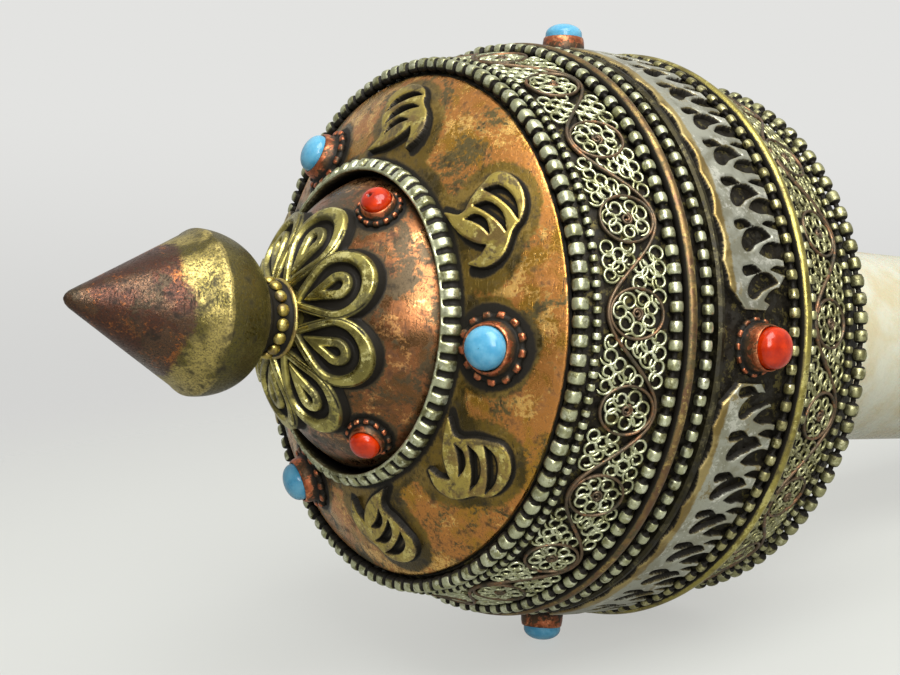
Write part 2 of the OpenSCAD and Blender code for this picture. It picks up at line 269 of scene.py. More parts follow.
# near-black of soot, also used as painted shade in hollows, gaps and undersides
SOOT_AND_SHADE, = tones("191610")


def aged(name, slot, metal, cover, patch, gloss, speckle, dirt_and_shade, scratch=0.0,
         relief=0.05, pits=0.72, zone=None):
    """Old metal in four tones, under dark specks, and soot with painted shade where the
    piece's grime attribute is high. relief is the depth of its bumps in mm, and a lower pits gives
    more of the fine specks. zone is the bright, dull and deep tone of a stain that
    follows the piece's zone attribute."""
    paint = Paint(name, slot)
    bright, worn, mellow, patina = tones(metal)
    broad = paint.noise(patch, detail=5, rough=0.6, bend=0.3)
    fine = paint.noise(0.45, detail=4, rough=0.7)
    edge = paint.total((fine, 0.45), (paint.noise(patch * 0.8, detail=4), 0.55))
    dirty_and_shaded = paint.attribute("grime_and_shade")
    dull = paint.total(
        (fine, 0.3), (paint.noise(patch * 1.3, detail=5, rough=0.65, bend=0.6), 0.7),
        (dirty_and_shaded, 0.22))
    dull = paint.step(dull, 0.62 - 0.2 * cover, 0.69 - 0.2 * cover)
    colour = paint.mix(paint.step(broad, 0.40, 0.52), mellow, bright)
    colour = paint.mix(paint.step(edge, 0.53, 0.58), colour, worn)
    colour = paint.mix(dull, colour, patina)
    if zone:
        light, dusky, deep = tones(zone)
        ragged = paint.math("MULTIPLY", paint.math("SUBTRACT", edge, 0.35), 1.3)
        share = paint.math("ADD", paint.attribute("zone"), ragged, clamp=False)
        stain = paint.mix(paint.step(broad, 0.42, 0.56), dusky, light)
        colour = paint.mix(paint.step(share, 0.55, 0.8), colour, stain)
        stain = paint.mix(paint.step(broad, 0.4, 0.6), deep, dusky)
        colour = paint.mix(paint.step(share, 1.5, 1.75), colour, stain)
    specks = paint.step(paint.noise(0.22, detail=5, rough=0.75), pits - 0.22, pits, 0,
                        speckle)
    clouds = paint.step(paint.noise(1.6, detail=5, rough=0.65), 0.5, 0.68, 0, speckle)
    # soot and painted shade: darkest where the grime attribute is high
    soot_and_shade = paint.total((dirty_and_shaded, 1.0), (paint.math("SUBTRACT", fine, 0.5), 0.9))
    soot_and_shade = paint.step(soot_and_shade, 0.5 - 0.3 * dirt_and_shade, 0.85 - 0.2 * dirt_and_shade)
    dark = paint.math("MAXIMUM", soot_and_shade, paint.math("MAXIMUM", specks, clouds))
    height = fine
    if scratch:
        lines = paint.noise(0.12, detail=2, stretch=(1.0, 0.05, 0.35))
        lines = paint.step(lines, 0.62, 0.70, 0, scratch)
        dark = paint.math("MAXIMUM", dark, lines)
        height = paint.math("SUBTRACT", fine, lines)
    matt = paint.math("MAXIMUM", dark, paint.math("MULTIPLY", dull, 0.45))
    shine = paint.step(broad, 0.35, 0.65, gloss, gloss + 0.14)
    paint.finish(Base_Color=paint.mix(dark, colour, SOOT_AND_SHADE),
                 Metallic=paint.blend(matt, 1.0, 0.2),
                 Specular_IOR_Level=paint.blend(dark, 0.5, 0.2),
                 Roughness=paint.blend(matt, shine, 0.62))
    paint.bump(height, relief, 0.55)
    return paint


def polished(name, slot, stone, gloss, cloud=1.4, vein=None):
    """A polished stone in two tones, with darker veins if asked."""
    paint = Paint(name, slot)
    tone = paint.mix(paint.step(paint.noise(cloud, detail=4), 0.35, 0.68), *tones(stone))
    if vein:
        lines = paint.step(paint.noise(9, detail=6, rough=0.6, bend=1.6), 0.535, 0.575)
        fade = paint.step(paint.noise(26, detail=2), 0.52, 0.6, 0, 0.8)
        tone = paint.mix(paint.math("MULTIPLY", lines, fade), tone, *tones(vein))
    # grime and painted shade, darkening the drilled hole
    tone = paint.mix(paint.attribute("grime_and_shade"), tone, SOOT_AND_SHADE)
    paint.finish(Base_Color=tone, Subsurface_Weight=0.05, Subsurface_Scale=1.0 * MM,
                 Roughness=paint.step(paint.noise(0.8), 0.3, 0.7, gloss, gloss + 0.12),
                 Specular_IOR_Level=0.3, Coat_Weight=0.08, Coat_Roughness=0.06)
    paint.bump(paint.noise(0.9, detail=3), 0.03, 0.3)
    return paint


def fibrous(name, slot, sheet):
    """Paper or cotton: a base tone and a stain, fibres and a slightly rough face."""
    paint = Paint(name, slot)
    base, stain = tones(sheet)
    fibres = paint.noise(0.3, detail=3, stretch=(1, 1, 0.15))
    tone = paint.mix(paint.step(paint.noise(7, detail=6), 0.4, 0.7), base, stain)
    tone = paint.mix(paint.step(fibres, 0.5, 0.8, 0, 0.35), tone, stain)
    paint.finish(Base_Color=tone, Roughness=paint.step(fibres, 0.3, 0.7, 0.7, 0.8))
    paint.bump(fibres, 0.05, 0.4)
    return paint


METALS = (
    # name, slot, bright worn mellow and patina tones, share under patina, size of the
    # patches in mm, roughness, dark specks, reach of the soot and painted shade, more
    ("aged_silver", "aged_silver", "bcbe9a dadcbe 9c9c74 686642", 0.35, 1.8, 0.32, 0.4, 0.6, {}),
    ("band_silver", "aged_silver", "acac9c cecdbe 9a9884 80744e", 0.3, 4, 0.38, 0.25, 0.5,
     {"zone": "a69462 847042 625434"}),
    ("shoulder_copper", "copper", "c08244 eebc6a ac8032 584c2a", 0.5, 5.5, 0.2, 0.75, 0.9,
     {"scratch": 0.9, "zone": "7e672f 504425 302a1c"}),
    ("crown_copper", "copper", "8c5c3a c8925a 705032 4e402a", 0.64, 3.2, 0.2, 0.7, 0.8,
     {"scratch": 0.5}),
    ("bezel_copper", "copper", "b26644 dc9062 8c5236 543e28", 0.4, 1.1, 0.3, 0.45, 0.5, {}),
    ("vine_copper", "copper", "6e5c48 8e684a 5a5040 4a4436", 0.5, 2.6, 0.42, 0.6, 0.6, {}),
    ("drum_silver", "aged_silver", "9e9c72 c4c29a 807c54 585434", 0.45, 1.8, 0.34, 0.45, 0.8, {}),
    ("rib_copper", "copper", "7e6642 a69058 6c523c 544a2e", 0.5, 2.2, 0.38, 0.5, 0.6, {}),
    ("lotus_brass", "brass", "aea35d e2d890 827842 605a34", 0.45, 3, 0.24, 0.4, 0.6, {}),
    ("bead_brass", "brass", "a6a070 ccc696 847e50 5c5632", 0.5, 1.6, 0.3, 0.5, 0.6, {}),
    ("rim_brass", "brass", "3a3626 605a3e 2e2b20 28251b", 0.5, 2, 0.45, 0.7, 0.5, {}),
    ("rib_brass", "brass", "a29650 ccc278 847840 685e34", 0.4, 4, 0.26, 0.35, 0.5, {}),
    ("plate_brass", "brass", "b29e52 daca7a 907848 685a38", 0.45, 2.6, 0.27, 0.5, 0.5, {}),
    ("finial_copper", "dark_copper", "583a2e 9e6036 624a38 4a3c2a", 0.5, 5, 0.22, 0.85, 0.8,
     {"scratch": 0.8, "relief": 0.11, "pits": 0.64, "zone": "b2a05d 685e31 645c2e"}),
    ("blackened_ground", "dark_copper", "2c2820 625a36 24211c 28251e", 0.5, 1.6, 0.5, 0.9, 0.5, {}),
    ("spindle_steel", "steel", "b0b2b6 ceced0 969698 787670", 0.2, 8, 0.25, 0.2, 0.5, {}),
)
STONES = (
    # name, slot, two tones, roughness, size of the clouds, vein
    ("turquoise_stone", "turquoise", "5a96b0 3e82a2", 0.16),
    ("coral_stone", "coral", "b02c03 8a1a01", 0.12),
    ("pale_grip_stone", "grip_stone", "b4b3a0 aca384", 0.22, 5.0, "96704c"),
)
SHEETS = (
    # name, slot, base tone and stain
    ("scroll_sheet", "paper", "e2d0a4 be9e6a"),
    ("cotton_tie", "paper_tie", "a8543a 843a2a"),
)
PAINTS = {row[0]: aged(*row[:-1], **row[-1]) for row in METALS}
PAINTS.update({row[0]: polished(*row) for row in STONES})
PAINTS.update({row[0]: fibrous(*row) for row in SHEETS})


# -------------------- mesh building

def quads(rows, columns, loop_rows=True, loop_columns=True):
    """Faces over a grid of rows x columns points, numbered row by row."""
    i = np.arange(rows if loop_rows else rows - 1)
    j = np.arange(columns if loop_columns else columns - 1)
    i, j = (grid.ravel() for grid in np.meshgrid(i, j, indexing="ij"))
    i2, j2 = (i + 1) % rows, (j + 1) % columns
    return np.stack([i * columns + j, i2 * columns + j,
                     i2 * columns + j2, i * columns + j2], -1)


def proud(faces, lift):
    """The faces with a corner that is lifted off the skin."""
    return faces[(lift.ravel()[faces] > 0).any(1)]


def facing_out(points, faces):
    """The faces, turned if they enclose a negative volume."""
    a, b, c, d = (points[faces[:, k]] for k in range(4))
    flux = np.einsum("ij,ij->", np.cross(c - a, d - b), a - np.array([0, 0, SEAM]))
    return faces if flux > 0 else faces[:, ::-1]


def placed(name, data):
    made = bpy.data.objects.new(name, data)
    bpy.context.scene.collection.objects.link(made)
    return made


def attach(made, name, values):
    """Stores one number per vertex, for the materials to read."""
    layer = made.data.attributes.new(name, "FLOAT", "POINT")
    layer.data.foreach_set("value", values.astype(np.float32))


def dress(shown, paint):
    shown.data.materials.clear()
    shown.data.materials.append(PAINTS[paint].material)


def piece(name, body, paint, parts, node):
    """One finished object from [(points, faces, grime and painted shade), ...], in a CAD node's
    place.
    """
    points, faces, grime_and_shade, start = [], [], [], 0
    for co, quad, dirt_and_shade in parts:
        co = co.reshape(-1, 3)
        points.append(co)
        faces.append(facing_out(co, quad) + start)
        grime_and_shade.append(np.ravel(dirt_and_shade) * np.ones(len(co)))
        start += len(co)
    points, faces, grime_and_shade = (np.concatenate(x) for x in (points, faces, grime_and_shade))
    mesh = bpy.data.meshes.new(name)
    mesh.vertices.add(len(points))
    mesh.vertices.foreach_set("co", points.astype(np.float32).ravel())
    mesh.loops.add(faces.size)
    mesh.loops.foreach_set("vertex_index", faces.astype(np.int32).ravel())
    mesh.polygons.add(len(faces))
    mesh.polygons.foreach_set("loop_start", np.arange(0, faces.size, 4, dtype=np.int32))
    mesh.polygons.foreach_set("use_smooth", np.ones(len(faces), bool))
    mesh.update(calc_edges=True)
    made = placed(name, mesh)
    attach(made, "grime_and_shade", grime_and_shade)
    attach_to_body(made, body)
    dress(made, paint)
    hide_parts(node)
    return made


def keep(paint, *nodes):
    """CAD nodes that are shown as they are, with a proper finish."""
    for node in nodes:
        dress(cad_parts[node], paint)


def zoned(made, rule):
    """Stains a piece: rule takes its points and gives 0 for none, 1 for a stain and
    up to 2 for the deep tone."""
    attach(made, "zone", rule(vertices(made)))


def smooth(t):
    t = np.clip(t, 0, 1)
    return t * t * (3 - 2 * t)


def near(gap, fade):
    """1 where the gap is 0 or less, and 0 from a gap of fade on."""
    return smooth(1 - gap / fade)


def softened(outline, passes):
    """A closed outline in mm with its corners cut, for small worn edges."""
    points = np.asarray(outline, float)
    for _ in range(passes):
        after = np.roll(points, -1, axis=0)
        length = np.linalg.norm(after - points, axis=1, keepdims=True)
        cut = np.minimum(0.25 * length, 0.45)
        along = (after - points) / np.maximum(length, 1e-6)
        points = np.stack([points + along * cut, after - along * cut], 1).reshape(-1, 2)
    return points


def turned(outline, around=192, wobble=0.0, grime_and_shade=None, passes=1):
    """A part turned about the axis from a closed (radius, height) outline in mm.
    grime gives the soot and painted shade at a radius and a height in mm."""
    loop = softened(outline, passes)
    r, z = loop.T
    angle = whole_turn(around)[:, None]
    uneven = 1 + wobble * np.sin(2 * angle + 0.04 * z) * (r > 2)
    dirt_and_shade = grime_and_shade(r, z) * np.ones((around, 1)) if grime_and_shade else 0.0
    return polar(r * uneven * MM, angle, z * MM), quads(around, len(loop)), dirt_and_shade


def bead_ring(node, count, gap, square, core=0.36):
    """A ring of beads on a thinner core, in the place of a CAD wire ring."""
    radius, height, wire = ring_of(node)
    inside = np.sin(np.linspace(-math.pi / 2, math.pi / 2, 13))
    t = np.append(inside * (1 - gap), 1.0)
    soft = square + 0.3
    bulge = np.append(np.maximum(0, 1 - np.abs(inside) ** soft) ** (1 / soft), 0)
    size = 1 + rng.uniform(-0.09, 0.02, count)
    shift = rng.uniform(-0.06, 0.06, (2, count)) * wire
    angle = ((np.arange(count) + rng.uniform(-0.03, 0.03, count))[:, None]
             + t / 2) * TAU / count
    scale = (core + (size[:, None] - core) * bulge).ravel()
    turn = whole_turn(16)
    c, s = np.cos(turn), np.sin(turn)
    span = (np.abs(c) ** square + np.abs(s) ** square) ** (-1 / square)
    out = radius + np.repeat(shift[0], len(t))[:, None] + wire * np.outer(scale, span * c)
    up = height + np.repeat(shift[1], len(t))[:, None] + wire * np.outer(scale, span * s)
    # grime and painted shade in the gaps between beads, and painted shade on each bead's side
    # toward the shell
    soot_and_shade = np.tile(smooth((1 - bulge) * 1.9), count)[:, None]
    return (polar(out, angle.reshape(-1, 1), up), quads(count * len(t), 16),
            np.maximum(soot_and_shade, smooth((-0.15 - c) * 2)))


def plain_ring(node, around=360, sides=20):
    """A plain wire ring, slightly uneven by hand."""
    radius, height, wire = ring_of(node)
    angle = whole_turn(around)[:, None]
    turn = whole_turn(sides)
    local = wire * (1 + 0.01 * (np.sin(23 * angle) + np.sin(9 * angle + 2) - 2))
    # grime and painted shade: darkest on the wire's top and bottom, less on its inner side, none on
    # its outer face
    grime_and_shade = smooth(0.2 + np.abs(np.sin(turn)) ** 3 - 0.5 * np.cos(turn))
    return (polar(radius + local * np.cos(turn), angle, height + local * np.sin(turn)),
            quads(around, sides), np.tile(0.9 * grime_and_shade, around))


def tubes(paths, normals, half_width, half_height, closed, sides=8):
    """Wires along (k, n, 3) paths whose flat faces lie along the normals."""
    if closed:
        run = np.roll(paths, -1, axis=1) - np.roll(paths, 1, axis=1)
    else:
        run = np.gradient(paths, axis=1)
    run /= np.linalg.norm(run, axis=-1, keepdims=True)
    side = np.cross(run, normals)
    side /= np.linalg.norm(side, axis=-1, keepdims=True)
    turn = whole_turn(sides)
    taper = np.ones(paths.shape[1])
    if not closed:
        taper[[0, -1]] = 0.05
    offset = (side[..., None, :] * np.cos(turn)[:, None] * half_width
              + normals[..., None, :] * np.sin(turn)[:, None] * half_height)
    points = paths[:, :, None, :] + offset * taper[:, None, None]
    count, length = paths.shape[:2]
    faces = quads(length, sides, closed)
    faces = (faces[None] + (np.arange(count) * length * sides)[:, None, None]).reshape(-1, 4)
    # painted shade on each wire's underside, toward the skin
    low = smooth(0.1 - 1.2 * np.sin(turn))
    return points, faces, np.broadcast_to(low, points.shape[:3])


# -------------------- outlines as distance fields

def stroke(x, y, knots):
    """Signed distance to a soft stroke through knots of (x, y, half width)."""
    knots = np.asarray(knots, float)
    padded = np.concatenate([[2 * knots[0] - knots[1]], knots,
                             [2 * knots[-1] - knots[-2]]])
    t = np.linspace(0, 1, 7, endpoint=False)[:, None]
    path = [b + 0.5 * t * (c - a + t * (2 * a - 5 * b + 4 * c - d
                                        + t * (3 * b - a - 3 * c + d)))
            for a, b, c, d in zip(padded, padded[1:], padded[2:], padded[3:])]
    path = np.concatenate([*path, knots[-1:]])
    path[:, 2] = np.maximum(path[:, 2], 0.004)
    gaps = []
    for (ax, ay, half), (bx, by, more) in zip(path, np.diff(path, axis=0)):
        along = np.clip(((x - ax) * bx + (y - ay) * by) / (bx * bx + by * by + 1e-18), 0, 1)
        gaps.append(np.hypot(x - ax - along * bx, y - ay - along * by) - half - along * more)
    return np.minimum.reduce(gaps)


def joined(a, b, k):
    """Smooth union of two signed distances."""
    h = np.clip(0.5 + 0.5 * (b - a) / k, 0, 1)
    return b + (a - b) * h - k * h * (1 - h)


def teardrop(x, y, low, high, small, big):
    """Signed distance to a drop along y, small at low and big at high."""
    x = np.abs(x)
    length = high - low
    b = (small - big) / length
    a = math.sqrt(1 - b * b)
    k = -b * x + a * (y - low)
    body = a * x + b * (y - low) - small
    return np.where(k < 0, np.hypot(x, y - low) - small,
                    np.where(k > a * length, np.hypot(x, y - high) - big, body))


def cut_plate(skin, azimuths, depths, field, thickness, step=0.1 * MM, wall=0.16 * MM):
    """A plate with worn edges, cut to a field over part of a skin. The field
    takes distances across and down from the middle of the part."""
    (a0, a1), (s0, s1) = azimuths, depths
    middle = skin.radius((s0 + s1) / 2)
    columns = int((s1 - s0) / step) + 1
    rows = int((a1 - a0) * middle / step) + 1
    angle, s = np.meshgrid(np.linspace(a0, a1, rows), np.linspace(s0, s1, columns),
                           indexing="ij")
    x, y = (angle - (a0 + a1) / 2) * middle, s - (s0 + s1) / 2
    edge = field(x, y)
    gx, gy = np.gradient(edge, x[:, 0], y[0])
    snap = np.abs(edge) < 0.6 * step        # points that move onto the outline
    slope = np.maximum(gx * gx + gy * gy, 0.2)
    x, y = x - snap * edge * gx / slope, y - snap * edge * gy / slope
    edge = np.where(snap, 0, edge)
    angle, s = (a0 + a1) / 2 + x / middle, y + (s0 + s1) / 2
    lift = thickness * (near(edge, wall) - 0.12 * smooth(1 + edge / (1.6 * wall)) ** 0.5)
    lift = np.where(edge < 0, thickness * (0.86 + 0.14 * smooth(-edge / (1.5 * wall))), lift)
    lift = np.where(edge > wall, -0.15 * MM, lift)
    faces = proud(quads(rows, columns, False, False), lift)
    used, packed = np.unique(faces, return_inverse=True)
    points = skin.place(angle, s, lift).reshape(-1, 3)[used]
    # grime and painted shade along the cut walls and the sunk ground beside them
    grime_and_shade = smooth(0.5 + edge / (0.12 * MM)).ravel()[used]
    return points, packed.reshape(faces.shape), grime_and_shade


# -------------------- the stones

def stand(skin, angle, s):
    """Origin and axes (across, down, out) of a seat on a skin."""
    across, out = polar(1, angle + math.pi / 2, 0), skin.normal(angle, s)
    return skin.place(angle, s, 0), across, np.cross(out, across), out


def on_seat(seat, x, y, z):
    origin, across, down, out = seat
    return origin + x[..., None] * across + y[..., None] * down + z[..., None] * out


def cabochon(seat, radius, base, height, hole=None):
    """A domed stone. A hole is (distance, direction, radius)."""
    tilt = np.linspace(0.02, math.pi / 2, 20)[:-1]
    turn = whole_turn(48)
    profile = [(radius * math.sin(t), base + (height - base) * math.cos(t) ** 0.92)
               for t in tilt] + [(radius, base), (radius, base * 0.5), (radius * 0.98, 0)]
    r, z = np.array(profile).T
    x, y, z = np.moveaxis(polar(r, turn[:, None], z), -1, 0).copy()
    grime_and_shade = np.zeros(x.shape)
    if hole:
        far, way, size = hole
        gap = np.hypot(x - far * math.cos(way), y - far * math.sin(way))
        inside = smooth(1.4 - gap / size) * (z > base)
        z -= inside * 0.35 * MM
        # grime and painted shade inside the drilled hole
        grime_and_shade = inside
    return on_seat(seat, x, y, z), quads(*x.shape, loop_columns=False), grime_and_shade


def bezel(seat, radius, stone, cup, teeth=13, flange=0.5 * MM):
    """A crimped copper bezel with a toothed flange round a smooth cup."""
    phase = rng.uniform(0, TAU)
    turn = whole_turn(teeth * 10)[:, None]
    tooth = smooth(0.5 + 1.6 * np.sin(teeth * turn + phase))
    bend = 1 + 0.03 * np.sin(3 * turn + phase)
    band = radius - stone
    profile = np.array([
        # radius, height, share of the tooth's relief, grime and painted shade
        (radius, -0.2 * MM, 1, 1.0), (radius, flange * 0.7, 1, 0.25),
        (radius - 0.10 * band, flange, 1, 0.0), (radius - 0.3 * band, flange * 1.1, 0.8, 0.1),
        (stone + 0.52 * band, flange * 0.75, 0.2, 0.9),
        (stone + 0.40 * band, flange * 0.9, 0, 0.8),
        (stone + 0.30 * band, cup * 0.75, 0, 0.25), (stone + 0.2 * band, cup * 0.96, 0, 0.0),
        (stone + 0.10 * band, cup, 0, 0.1), (stone + 0.01 * band, cup * 0.93, 0, 0.7),
        (stone * 0.98, cup * 0.5, 0, 1.0), (stone * 0.98, -0.1 * MM, 0, 1.0)])
    r, z, share, grime_and_shade = profile.T
    r = r * bend - share * (1 - tooth) * 0.16 * band
    z = z - share * (1 - tooth) * 0.5 * flange
    # more grime and painted shade between the teeth
    grime_and_shade = np.clip(grime_and_shade + 0.9 * share * (1 - tooth), 0, 1)
    return (on_seat(seat, r * np.cos(turn), r * np.sin(turn), z),
            quads(len(turn), len(profile)), grime_and_shade)


SHOULDER_STONES = SHOULDER.seat("shoulder_turquoise_stones")
CROWN_STONES = CROWN.seat("crown_coral_stones")
LEAVES = SHOULDER.seat("shoulder_ornaments")
BAND_S = DRUM.at_height(mid_height("band_coral_stones"))
STONE_CLEARANCE = 0.02 * MM     # a stone's top stays this far under the CAD's
STONE_SETS = (
    # place, stone, skin, body
    ("shoulder", "turquoise", SHOULDER, "lid"),
    ("crown", "coral", CROWN, "lid"),
    ("band", "turquoise", DRUM, "drum"),
    ("band", "coral", DRUM, "drum"),
)


def seat_extent(node, seat):
    """Radius and height of the node's solid that stands on a seat."""
    origin, across, _, out = seat
    solids = [co - origin for _, co in lots(node)]
    local = min(solids, key=lambda co: np.linalg.norm(co, axis=1).min())
    return np.abs(local @ across).max(), (local @ out).max()


def set_stones():
    rims = {}
    for place, stone, skin, body in STONE_SETS:
        stones, bezels, made = f"{place}_{stone}_stones", f"{place}_bezels", []
        for angle, s in skin.seat(stones):
            seat = stand(skin, angle, BAND_S if skin is DRUM else s)
            radius, top = seat_extent(stones, seat)
            top -= STONE_CLEARANCE
            rim, cup = seat_extent(bezels, seat)
            hole = (0.3 * radius, 1.2, 0.17 * radius) if skin is CROWN and not made else None
            base = (0.66 if skin is DRUM else 0.55) * top
            made.append(cabochon(seat, radius, base, top, hole))
            rims.setdefault((place, body), []).append(bezel(seat, rim, radius, cup))
        piece(f"{place}_{stone}_cabochons", body, f"{stone}_stone", made, stones)
    for (place, body), parts in rims.items():
        piece(f"{place}_crimped_bezels", body, "bezel_copper", parts, f"{place}_bezels")


# -------------------- beads and wires

BEADS = (
    # node, body, paint, beads, share of the gap, squareness
    ("lid_big_beads", "lid", "aged_silver", 101, 0.25, 3.0),
    ("lid_small_beads", "lid", "aged_silver", 147, 0.34, 2.1),
    ("lid_medium_beads", "lid", "aged_silver", 107, 0.31, 2.5),
    ("lid_edge_beads", "lid", "aged_silver", 111, 0.30, 2.4),
    ("drum_brass_beads", "drum", "bead_brass", 106, 0.34, 2.3),
    ("drum_small_beads", "drum", "drum_silver", 112, 0.36, 2.2),
    ("drum_lower_beads", "drum", "drum_silver", 128, 0.36, 2.1),
    ("drum_bottom_beads", "drum", "drum_silver", 96, 0.24, 2.2),
    ("pommel_bead_ring", "handle", "aged_silver", 60, 0.26, 2.3),
    ("ferrule_bead_ring", "handle", "aged_silver", 60, 0.26, 2.3),
)


def lay_wires():
    for node, body, paint, count, gap, square in BEADS:
        piece(node + "_row", body, paint, [bead_ring(node, count, gap, square)], node)
    for body, paint in (("lid", "rib_copper"), ("drum", "rib_brass")):
        node = body + "_rib_wire"
        piece(body + "_rib", body, paint, [plain_ring(node)], node)


# -------------------- filigree

def filigree(skin, body, metal):
    """A belt of oval roundels. A copper vine passes them on alternate sides,
    and silver curls fill the roundels and the ground beside the vine."""
    vine_node, curl_node = body + "_filigree_vine", body + "_filigree_curls"
    roundels = lots(vine_node, 1.0)
    start = min((a for a, _ in roundels), key=lambda a: abs(math.remainder(a, TAU)))
    middle = skin.at_height(mid_height(vine_node))
    radius = skin.radius(middle)
    along = TAU / len(roundels) * radius    # roundel to roundel, on the skin
    reach = 0.33 * along                # vine's swing either side of the belt
    oval = 0.26 * along, 0.93 * reach   # a roundel's half width and half height
    flat = 0.42 * MM

    def wires(x, y, half_width, half_height, lift=flat, closed=False):
        angle, s = np.atleast_2d(start + x / radius), np.atleast_2d(middle + y)
        return tubes(skin.place(angle, s, lift), skin.normal(angle, s),
                     half_width * MM, half_height * MM, closed)

    t = np.linspace(0, len(roundels), len(roundels) * 40, endpoint=False)
    vine_x = t * along
    vine_y = -reach * np.cos(math.pi * t)
    vine = [wires(vine_x, vine_y, 0.22, 0.32, closed=True)]
    curls = []
    curl_turn = np.radians(np.linspace(-250, 210, 26))
    curl_r = np.interp(np.linspace(0, 1, 26), [0, 0.5, 1], [0.50, 0.68, 1.08]) * MM
    coil_turn = np.radians(np.linspace(0, 620, 34))
    coil_r = np.linspace(0.66, 0.17, 34) * MM
    rows = np.linspace(-0.86, 0.86, 6) * reach
    for k in range(len(roundels)):
        side = -1 if k % 2 == 0 else 1      # where the vine passes, up or down
        turn = np.radians(np.linspace(-50, 318, 56))
        x = k * along + oval[0] * np.sin(turn) * side
        y = side * oval[1] * np.cos(turn)
        vine.append(wires(x, y, 0.18, 0.3))
        x = k * along + coil_r * np.cos(coil_turn) * side
        vine.append(wires(x, coil_r * np.sin(coil_turn), 0.16, 0.26))
        spots = [(0.56 * oval[0] * math.sin(way), 0.60 * oval[1] * math.cos(way), way)
                 for way in TAU * (np.arange(7) + 0.35) / 7]
        for row, down in enumerate(rows):
            for n in range(6):
                x = (0.10 + 0.15 * n + 0.075 * (row % 2)) * along
                inside = np.hypot(x / oval[0], down / oval[1]) < 1.13 \
                    or np.hypot((along - x) / oval[0], down / oval[1]) < 1.13
                gap = np.hypot(vine_x - 2 * along - x, -side * vine_y - down).min()
                if not inside and gap > 0.52 * MM:
                    spots.append((x, down, 0.8 * side + 0.3 * row))
        for px, py, way in spots:
            way += rng.uniform(-0.45, 0.45)
            r = curl_r * rng.uniform(0.9, 1.08)
            hand = side * (1 if rng.random() < 0.85 else -1)
            px, py = (v + rng.uniform(-0.1, 0.1) * MM for v in (px, py))
            curls.append((k * along + px + r * np.cos(hand * curl_turn + way),
                          py + r * np.sin(hand * curl_turn + way)))
    x, y = (np.stack(c) for c in zip(*curls))
    piece(body + "_vine", body, "vine_copper", vine, vine_node)
    piece(body + "_curls", body, metal, [wires(x, y, 0.16, 0.22, 0.36 * MM)], curl_node)


# -------------------- the pierced band

def band_openings(x, y, width):
    """Signed distance to the leaf-shaped openings of one repeat of the band, in
    band heights, for a repeat of the given width."""
    return np.minimum.reduce([stroke(x, y, [(u * width, v, 1.02 * half) for u, v, half in knots])
                              for knots in (
        [(-0.22, 0.38, 0.02), (-0.12, 0.42, 0.085), (0.05, 0.52, 0.10),
         (0.14, 0.68, 0.085), (0.10, 0.83, 0.012)],
        [(0.30, 0.34, 0.06), (0.34, 0.46, 0.055), (0.30, 0.58, 0.010)],
        [(-0.30, 0.60, 0.015), (-0.24, 0.74, 0.085), (-0.20, 0.88, 0.10),
         (-0.27, 1.05, 0.09)],
        [(0.36, 0.74, 0.01), (0.38, 0.86, 0.045), (0.33, 1.05, 0.05)])])


def pierced_band():
    """Four strips between the band's stones, with a cusped edge on the lid's side."""
    outer, low, high = extent("ornament_band")
    top, bottom = DRUM.at_height(high), DRUM.at_height(low)
    tall = bottom - top
    thickness = outer - DRUM.radius(BAND_S)
    strips = []
    for middle, co in lots("ornament_band", 4.0):
        half = np.abs(angle_from(middle, np.arctan2(co[:, 1], co[:, 0]))).max()
        reach = half * DRUM.radius(BAND_S) / tall
        units = 9
        width = 2 * reach / units

        def field(x, y):
            x, y = x / tall, y / tall + 0.5
            place = x / width + units / 2
            local = (place % 1 - 0.5) * width
            cusp = 0.07 - 0.06 * (1 - np.abs(np.sin(math.pi * place)))
            edge = np.maximum(cusp - y, y - 0.97)
            end = reach - np.abs(x)
            edge = np.maximum(edge, np.abs(y - 0.45) - 0.16 - 0.9 * end)
            return np.maximum(np.maximum(edge, -band_openings(local, y, width)), -end) * tall

        strips.append(cut_plate(DRUM, (middle - half, middle + half), (top, bottom), field,
                                thickness))
    made = piece("pierced_band", "drum", "band_silver", strips, "ornament_band")
    zoned(made, lambda co: smooth((co[:, 2] - high + 2.3 * MM) / (2.0 * MM)))


# -------------------- the lid's big parts

def leaf(x, y, size):
    """Signed distance to a bent leaf with a smaller leaf at its side and three
    curved openings."""
    x, y = x / (LEAF_SPREAD * size), y / size
    body = stroke(x, y, [(0.05, 0.22, 0.24), (-0.01, 0.03, 0.25), (-0.02, -0.16, 0.17),
                         (0.06, -0.33, 0.08), (0.24, -0.45, 0.010)])
    side = stroke(x, y, [(-0.14, 0.16, 0.10), (-0.29, 0.02, 0.10), (-0.37, -0.16, 0.06),
                         (-0.36, -0.34, 0.010)])
    openings = np.minimum.reduce([stroke(x, y, knots) for knots in (
        [(-0.13, 0.32, 0.010), (0.00, 0.30, 0.05), (0.13, 0.21, 0.055), (0.21, 0.07, 0.008)],
        [(-0.19, 0.16, 0.010), (-0.06, 0.13, 0.05), (0.06, 0.03, 0.05), (0.13, -0.10, 0.008)],
        [(-0.16, -0.03, 0.010), (-0.06, -0.06, 0.042), (0.02, -0.14, 0.04),
         (0.06, -0.25, 0.006)])])
    return np.maximum(joined(body, side, 0.02), -openings) * size


LEAF_SIZE = 9.6 * MM
LEAF_SPREAD = 1.35      # how much wider than long


def leaves():
    half = 0.5 * LEAF_SIZE
    plates = []
    for angle, s in LEAVES:
        turn = LEAF_SPREAD * half / SHOULDER.radius(s)
        plates.append(cut_plate(
            SHOULDER, (angle - turn, angle + turn), (s - half, s + half),
            lambda x, y: leaf(x, y, LEAF_SIZE), 0.85 * MM, step=0.075 * MM,
            wall=0.13 * MM))
    piece("shoulder_leaves", "lid", "plate_brass", plates, "shoulder_ornaments")


